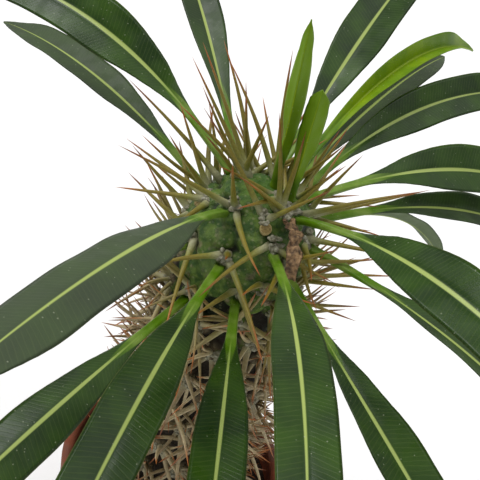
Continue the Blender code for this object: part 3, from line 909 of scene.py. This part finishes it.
RIBBON_ROWS, RIBBON_COLUMNS, RIBBON_HALF_THICKNESS = 44, 12, 0.00022
RIBBON_TWIST, RIBBON_TURNS, RIBBON_ROLL_SHARE = 26, 5, 0.2
NARROWEST_HALF, LOBE_HALF, WAIST_DEPTH, WAIST_REACH = 0.0014, 0.0030, 0.5, 0.09


def ribbon_half_width(share):
    """Two ragged lobes with a waist between them."""
    waist = 1 - WAIST_DEPTH * math.exp(-((share - 0.5) / WAIST_REACH) ** 2)
    return NARROWEST_HALF + LOBE_HALF * math.sin(math.pi * min(share + 0.1, 0.93)) ** 0.6 * waist


def build_withered():
    leaf = LEAVES["withered_leaf"]
    place, normal = skin(leaf.below / 1000, math.radians(leaf.bearing))
    path = leaf_path(leaf, place + normal * KNOB_HEIGHT * 0.8)
    columns = [-1 + 2 * step / RIBBON_COLUMNS for step in range(RIBBON_COLUMNS + 1)]
    outline = [(x, 1) for x in columns] + [(x, -1) for x in columns[-2:0:-1]]
    rings = []
    for row in range(RIBBON_ROWS + 1):
        share = row / RIBBON_ROWS
        roll = math.radians(leaf.roll * RIBBON_ROLL_SHARE + RIBBON_TWIST * math.sin(share * RIBBON_TURNS))
        wide, tall = blade_axes(leaf_direction(leaf, share), roll)
        half = ribbon_half_width(share)
        ring = []
        for x, face in outline:
            spot = path[round(share * PATH_STEPS)] + wide * half * x
            crease = 0.0022 * noise.noise(spot * 260) + 0.0012 * noise.noise(spot * 700)
            ring.append(spot + tall * (crease + face * RIBBON_HALF_THICKNESS))
        rings.append(ring)
    mesh = mesh_of_rings("withered_ribbon", rings)
    close_ends(mesh, len(rings[0]))
    LEAF_MESHES.append(mesh)
    return add_piece("withered_ribbon", mesh, withered_finish(), "withered_leaf")


withered = build_withered()
print("withered leaf faces:", len(withered.data.polygons))

# %% [markdown]
# Spines stand in threes just above each leaf, and thinner ones crowd round them
# lower down. A spine is a stiff, tapering thorn with a swollen foot: olive on
# the young crown, straw and grey lower down, and orange-brown at the tip. Each
# one is turned a little until it stays clear of the leaves. One search tree over
# all the leaves makes that test quick.

# %% Where the spines point
CLEAR_FROM, CLEAR_STEPS, RIM_MARGIN = 4, 44, 0.004
ATTEMPTS, WOBBLE, SHORTENING, LEAST_AGREEMENT = 40, 0.035, 0.012, 0.3


def search_tree(meshes):
    points, faces = [], []
    for mesh in meshes:
        first = len(points)
        points += [vert.co.copy() for vert in mesh.vertices]
        faces += [tuple(first + corner for corner in face.vertices) for face in mesh.polygons]
    return BVHTree.FromPolygons(points, faces)


ALL_LEAVES = search_tree(LEAF_MESHES)


def spine_directions(draw, normal, upward, side, crown):
    tilts = (62, 58, 40) if crown else (66, 62, 52)
    clocks = (150, 30, 90) if crown else (205, -25, 90)
    if not crown and draw.random() < 0.5:
        clocks = (140, 40, -90)
    for tilt, clock in zip(tilts, clocks):
        tilt = math.radians(tilt + draw.uniform(-14, 12))
        clock = math.radians(clock + draw.uniform(-24, 24))
        across = side * math.cos(clock) + upward * math.sin(clock)
        yield (normal * math.cos(tilt) + across * math.sin(tilt)).normalized()


def is_clear(root, tip):
    for step in range(CLEAR_FROM, CLEAR_STEPS + 1):
        share = step / CLEAR_STEPS
        point = root.lerp(tip, share)
        reach = SPINE_RADIUS * (1 - share) + SPINE_CLEAR
        if ALL_LEAVES.find_nearest(point, reach)[0] is not None:
            return False
    inside_rim = math.hypot(tip.x, tip.y) < RIM_RADIUS - POT_WALL - RIM_MARGIN
    return tip.z > SOIL_LEVEL + RIM_MARGIN and (tip.z > POT_HEIGHT + RIM_MARGIN or inside_rim)


def settle_spine(draw, root, start, direction, length):
    for attempt in range(ATTEMPTS):
        wobble = Vector([draw.uniform(-1, 1) for _ in range(3)]) * (WOBBLE * attempt)
        turned_to = (direction + wobble).normalized()
        tip = start + turned_to * length * (1 - SHORTENING * attempt)
        if turned_to.dot(direction) > LEAST_AGREEMENT and is_clear(root, tip):
            return tip
    return None


print("faces to keep the spines clear of:", sum(len(mesh.polygons) for mesh in LEAF_MESHES))

# %% [markdown]
# Every knob draws its spines from its own seed, so one knob can be changed and
# the others stay as they are. Those that stand out in front take their aim from
# the list above, and the rest fan out round the knob.

# %% Each knob's spines
SPINE_START, FIRST_SPINES, EXTRA_FROM_AGE, EXTRA_THICKNESS = 0.6, 0.008, 0.15, 0.75
EXTRA_OLD_SPINES = 7
# The longest thorns, at the back of the crown: bearing and depth of the foot, heading, rise, length.
LONG_SPINES = [
    (132, 10, 150, 50, 64), (132, 10, 170, 52, 62), (110, 20, 135, 50, 62), (60, 12, 150, 46, 60),
    (60, 12, 110, 62, 60), (150, 24, 172, 34, 62), (350, 20, 354, 35, 58), (20, 30, 10, 26, 56),
]


def knob_frame(below, bearing, has_leaf):
    """Start of the spines over a knob, with its outward, upward and sideways directions."""
    point, normal = skin(below - (SPINE_ABOVE_LEAF if has_leaf else 0.0), bearing)
    side = Vector((-math.sin(bearing), math.cos(bearing), 0))
    upward = normal.cross(side).normalized()
    return point + normal * KNOB_HEIGHT * SPINE_START, normal, -upward if upward.z < 0 else upward, side


def pointing(heading, rise):
    heading, rise = math.radians(heading), math.radians(rise)
    return Vector((math.cos(rise) * math.cos(heading), math.cos(rise) * math.sin(heading), math.sin(rise)))


def spines_of(number, knob):
    """One knob's spines as (root, tip, age, thickness)."""
    below, bearing, has_leaf, aims = knob
    draw = random.Random(number)
    start, normal, upward, side = knob_frame(below, bearing, has_leaf)
    root = start - normal * SPINE_SUNK
    old = ease((below - DOME_ARC) / FADE_BELOW_CROWN)
    mean = CROWN_SPINE + (TRUNK_SPINE - CROWN_SPINE) * old
    wanted = [(pointing(heading, rise), length / 1000) for heading, rise, length in aims]
    if not aims:
        for direction in spine_directions(draw, normal, upward, side, below < FADE_BELOW_CROWN):
            wanted.append((direction, mean * draw.uniform(0.82, 1.14)))
    for direction, length in wanted:
        tip = settle_spine(draw, root, start, direction, length)
        if tip:
            yield root, tip, old, 1.0
    for _ in range(EXTRA_OLD_SPINES if old > EXTRA_FROM_AGE else 0):
        clock, tilt = draw.uniform(0, 2 * math.pi), math.radians(draw.uniform(50, 84))
        across = side * math.cos(clock) + upward * math.sin(clock)
        direction = normal * math.cos(tilt) + across * math.sin(tilt)
        tip = settle_spine(draw, root, start, direction, mean * draw.uniform(0.6, 1.0))
        if tip:
            yield root, tip, old, EXTRA_THICKNESS


def long_spines():
    """The listed long thorns, as (root, tip, age, thickness)."""
    draw = random.Random(2)
    for bearing, below, heading, rise, length in LONG_SPINES:
        start, normal, _, _ = knob_frame(below / 1000, math.radians(bearing), False)
        tip = settle_spine(draw, start, start, pointing(heading, rise), length / 1000)
        if tip:
            yield start - normal * SPINE_SUNK, tip, 0.0, 1.0


def find_spines():
    """All spines, and the start and normal of each group's foot."""
    grown, feet = list(long_spines()), []
    for number, knob in enumerate(KNOBS):
        if knob[0] > FIRST_SPINES:
            start, normal, _, _ = knob_frame(*knob[:3])
            feet.append((start, normal))
            grown += spines_of(number, knob)
    return grown, feet


SPINES, FEET = find_spines()
print("spines:", len(SPINES))

# %% [markdown]
# A thorn's colour depends on where along it one looks and how old it is. Three
# masks carry that: along the thorn, its age, and a tone drawn for each thorn, so
# that no two neighbours match.

# %% Spine finish


def spine_finish():
    mat, tree, shader = fresh_material("thorn")
    along, age, tone = mask_of(tree, "along"), mask_of(tree, "age"), mask_of(tree, "tone")
    young = blend(tree, fade(tree, along, 0.0, 0.5), rgb(136, 140, 62), rgb(128, 114, 30))
    old = blend(tree, tone, rgb(196, 180, 140), rgb(140, 122, 88))
    body = blend(tree, age, young, old)
    body = blend(tree, fade(tree, along, 0.0, 0.22, 0.9, 0.0), body, rgb(168, 166, 136))
    tip = blend(tree, tone, rgb(176, 98, 22), rgb(120, 58, 16))
    colour = blend(tree, fade(tree, along, 0.62, 0.92), body, tip)
    colour = blend(tree, share_of(tree, patches(tree, 900), 0.25), colour, rgb(70, 52, 28))
    tree.links.new(colour, shader.inputs["Base Color"])
    shader.inputs["Roughness"].default_value = 0.5
    add_bump(tree, shader, grain(tree, 1800.0, 3.0), 0.00015)
    return mat


THORN = spine_finish()
print("nodes in the thorn finish:", len(THORN.node_tree.nodes))

# %% [markdown]
# A cone would look too straight and too thick at its foot for its length. Each
# thorn is rings along a slightly bowed axis instead, with a swollen foot and a
# belly that stays full until near the tip. All of them share one mesh.

# %% Raise the spines
SPINE_SIDES, SPINE_ROWS, SPINE_BOW = 7, 9, 0.0016
THORN_GIRTH, THORN_TAPER, FOOT_SWELLING, FOOT_REACH, POINT_RADIUS = 1.04, 0.78, 0.0011, 0.045, 0.00004


def add_spine(points, faces, masks, spine, draw):
    root, tip, age, thickness = spine
    axis = tip - root
    length = axis.length
    turn = axis.to_track_quat("Z", "Y")
    bow = Vector((draw.uniform(-1, 1), draw.uniform(-1, 1), 0)) * SPINE_BOW
    tone = draw.random()
    first = len(points)
    for row in range(SPINE_ROWS + 1):
        share = row / SPINE_ROWS
        out = max((share * length - SPINE_SUNK) / (length - SPINE_SUNK), 0.0)
        radius = SPINE_RADIUS * THORN_GIRTH * (1 - out) ** THORN_TAPER
        radius = (radius + FOOT_SWELLING * math.exp(-out / FOOT_REACH) + POINT_RADIUS) * thickness
        middle = Vector((0, 0, share * length)) + bow * math.sin(math.pi * share)
        for side in range(SPINE_SIDES):
            angle = 2 * math.pi * side / SPINE_SIDES
            local = middle + Vector((radius * math.cos(angle), radius * 0.85 * math.sin(angle), 0))
            points.append(root + turn @ local)
            masks["along"].append(out)
            masks["age"].append(age)
            masks["tone"].append(tone)
    for row in range(SPINE_ROWS):
        for side in range(SPINE_SIDES):
            after = (side + 1) % SPINE_SIDES
            a, b = first + row * SPINE_SIDES, first + (row + 1) * SPINE_SIDES
            faces.append((a + side, a + after, b + after, b + side))
    faces.append(tuple(first + SPINE_ROWS * SPINE_SIDES + side for side in range(SPINE_SIDES)))
    faces.append(tuple(first + side for side in range(SPINE_SIDES))[::-1])


def build_spines():
    points, faces, masks = [], [], {"along": [], "age": [], "tone": []}
    draw = random.Random(3)
    for spine in SPINES:
        add_spine(points, faces, masks, spine, draw)
    mesh = bpy.data.meshes.new("spines")
    mesh.from_pydata(points, [], faces)
    mesh.shade_smooth()
    for name, values in masks.items():
        write_mask(mesh, name, values)
    return add_piece("spines", mesh, THORN, None)


spines = build_spines()
print("spine faces:", len(spines.data.polygons))

# %% [markdown]
# Each group of spines grows out of a small pad of grey felt. Real felt is short
# hair, which would be far too many strands to export. So a pad is a cluster of
# soft lumps round the feet of the spines, roughened by a fine bump.

# %% Felt pads
LUMPS_IN_PAD, PAD_REACH, PAD_FLATNESS, PAD_LIFT, LUMP_SIZES = 12, 0.0030, 0.8, 0.0006, (0.0009, 0.0019)


def felt_finish():
    mat, tree, shader = fresh_material("grey_felt")
    colour = blend(tree, patches(tree, 700, 0.35, 0.65), rgb(132, 128, 102), rgb(206, 204, 182))
    colour = blend(tree, share_of(tree, patches(tree, 250), 0.5), colour, rgb(92, 86, 54))
    tree.links.new(colour, shader.inputs["Base Color"])
    shader.inputs["Roughness"].default_value = 0.95
    add_bump(tree, shader, grain(tree, 2600.0, 4.0), 0.0010)
    return mat


def build_felt():
    draw = random.Random(5)
    bm = bmesh.new()
    for start, normal in FEET:
        for _ in range(LUMPS_IN_PAD):
            offset = Vector([draw.uniform(-1, 1) for _ in range(3)]) * PAD_REACH
            offset -= normal * offset.dot(normal) * PAD_FLATNESS
            add_lump(bm, start + offset + normal * PAD_LIFT, draw.uniform(*LUMP_SIZES), draw, 2)
    mesh = bpy.data.meshes.new("felt_pads")
    bm.to_mesh(mesh)
    bm.free()
    mesh.shade_smooth()
    return add_piece("felt_pads", mesh, felt_finish(), None)


felt = build_felt()
print("felt faces:", len(felt.data.polygons))

# %% [markdown]
# Where a leaf has dropped, it leaves a round tan scar with a raised rim, just
# under the felt pad. A painted spot would have no rim, so each scar is a small
# disc of rings set into the skin, and its colour follows the rings.

# %% Leaf scars
SCAR_SIDES, SCAR_RADIUS, SCAR_BELOW_PAD, SCAR_LIFT = 28, 0.0029, 0.0046, 0.75
SCAR_PROFILE = [(0.0001, 0.0006), (0.0009, 0.0007), (0.0017, 0.0003), (0.0023, 0.0007), (0.0027, 0.0004),
                (SCAR_RADIUS, -0.0022)]


def scar_finish():
    mat, tree, shader = fresh_material("leaf_scar")
    ring = mask_of(tree, "ring")
    colour = blend(tree, patches(tree, 800), rgb(116, 98, 52), rgb(168, 146, 92))
    colour = blend(tree, fade(tree, ring, 0.0, 0.35, 0.6, 0.0), colour, rgb(78, 60, 30))
    colour = blend(tree, fade(tree, ring, 0.72, 1.0), colour, rgb(186, 168, 116))
    tree.links.new(colour, shader.inputs["Base Color"])
    shader.inputs["Roughness"].default_value = 0.85
    add_bump(tree, shader, grain(tree, 1600.0, 3.0), 0.0004)
    return mat


def build_scars():
    points, faces, ring_mask = [], [], []
    for bearing, below in BARE_KNOBS:
        middle, normal = skin(below / 1000 + SCAR_BELOW_PAD, math.radians(bearing))
        middle += normal * KNOB_HEIGHT * SCAR_LIFT
        turn = normal.to_track_quat("Z", "Y")
        first = len(points)
        for radius, height in SCAR_PROFILE:
            points += [middle + turn @ Vector(point) for point in ring_of(radius, height, SCAR_SIDES)]
            ring_mask += [radius / SCAR_RADIUS] * SCAR_SIDES
        for row in range(len(SCAR_PROFILE) - 1):
            a, b = first + row * SCAR_SIDES, first + (row + 1) * SCAR_SIDES
            for side in range(SCAR_SIDES):
                after = (side + 1) % SCAR_SIDES
                faces.append((a + side, b + side, b + after, a + after))
        faces.append(tuple(range(first, first + SCAR_SIDES)))
    mesh = bpy.data.meshes.new("leaf_scars")
    mesh.from_pydata(points, [], faces)
    mesh.shade_smooth()
    write_mask(mesh, "ring", ring_mask)
    return add_piece("leaf_scars", mesh, scar_finish(), None)


scars = build_scars()
print("scar faces:", len(scars.data.polygons))

# %% [markdown]
# The studio is a wide pale floor under soft light from above and the left. Suns
# with a wide angle give soft shadows that don't depend on the plant's size, and
# a pale sky fills them.

# %% Floor and light
SKY_STRENGTH, FLOOR_REACH, FLOOR_TONE = 0.42, 6.0, 0.93


def build_studio():
    floor_mesh = bpy.data.meshes.new("floor")
    corners = [(-1, -1), (1, -1), (1, 1), (-1, 1)]
    floor_mesh.from_pydata([(x * FLOOR_REACH, y * FLOOR_REACH, 0) for x, y in corners], [], [(0, 1, 2, 3)])
    floor = bpy.data.objects.new("floor", floor_mesh)
    bpy.context.scene.collection.objects.link(floor)
    mat, tree, shader = fresh_material("pale_floor")
    shader.inputs["Base Color"].default_value = (FLOOR_TONE, FLOOR_TONE, FLOOR_TONE, 1.0)
    shader.inputs["Roughness"].default_value = 0.9
    floor_mesh.materials.append(mat)
    world = bpy.data.worlds.new("soft_sky")
    world.use_nodes = True
    world.node_tree.nodes["Background"].inputs["Color"].default_value = (1.0, 1.0, 1.0, 1.0)
    world.node_tree.nodes["Background"].inputs["Strength"].default_value = SKY_STRENGTH
    bpy.context.scene.world = world
    bpy.context.scene.view_settings.view_transform = "Standard"


def add_soft_sun(name, bearing, height, strength, spread):
    data = bpy.data.lights.new(name, "SUN")
    data.energy = strength
    data.angle = math.radians(spread)
    lamp = bpy.data.objects.new(name, data)
    lamp.rotation_euler = pointing(bearing, height).to_track_quat("Z", "Y").to_euler()
    bpy.context.scene.collection.objects.link(lamp)


build_studio()
add_soft_sun("key_light", 160, 55, 2.0, 35)
add_soft_sun("fill_light", 20, 65, 0.9, 60)
print("lights placed")

# %% [markdown]
# The camera looks down on the crown from the front, tilted as the picture is.
# The trunk's tip is a point that is easy to find in the picture, so the camera
# is placed from it: it lands a little right of the middle and above it.

# %% Camera
CAMERA_HEIGHT_ANGLE, CAMERA_TILT, CAMERA_DISTANCE = 40, 15, 0.42
PICTURE_SIZE, FOCAL_PIXELS = 480, 930
TIP_IN_PICTURE = (262, 190)


def build_camera():
    pitch, tilt = math.radians(CAMERA_HEIGHT_ANGLE), math.radians(CAMERA_TILT)
    forward = Vector((0, math.cos(pitch), -math.sin(pitch)))
    right = Vector((1, 0, 0))
    up = right.cross(forward)
    tilted_right = right * math.cos(tilt) + up * math.sin(tilt)
    tilted_up = up * math.cos(tilt) - right * math.sin(tilt)
    across = (TIP_IN_PICTURE[0] - PICTURE_SIZE / 2) / FOCAL_PIXELS * CAMERA_DISTANCE
    above = (PICTURE_SIZE / 2 - TIP_IN_PICTURE[1]) / FOCAL_PIXELS * CAMERA_DISTANCE
    tip = Vector((TRUNK_LEAN, 0, TRUNK_TOP))
    place = tip - forward * CAMERA_DISTANCE - tilted_right * across - tilted_up * above
    data = bpy.data.cameras.new("camera")
    data.sensor_width = 36
    data.lens = data.sensor_width * FOCAL_PIXELS / PICTURE_SIZE
    camera = bpy.data.objects.new("camera", data)
    turn = Matrix((tilted_right, tilted_up, -forward)).transposed()
    camera.matrix_world = Matrix.Translation(place) @ turn.to_4x4()
    bpy.context.scene.collection.objects.link(camera)
    bpy.context.scene.camera = camera
    print("camera at", tuple(round(v, 4) for v in place))


build_camera()
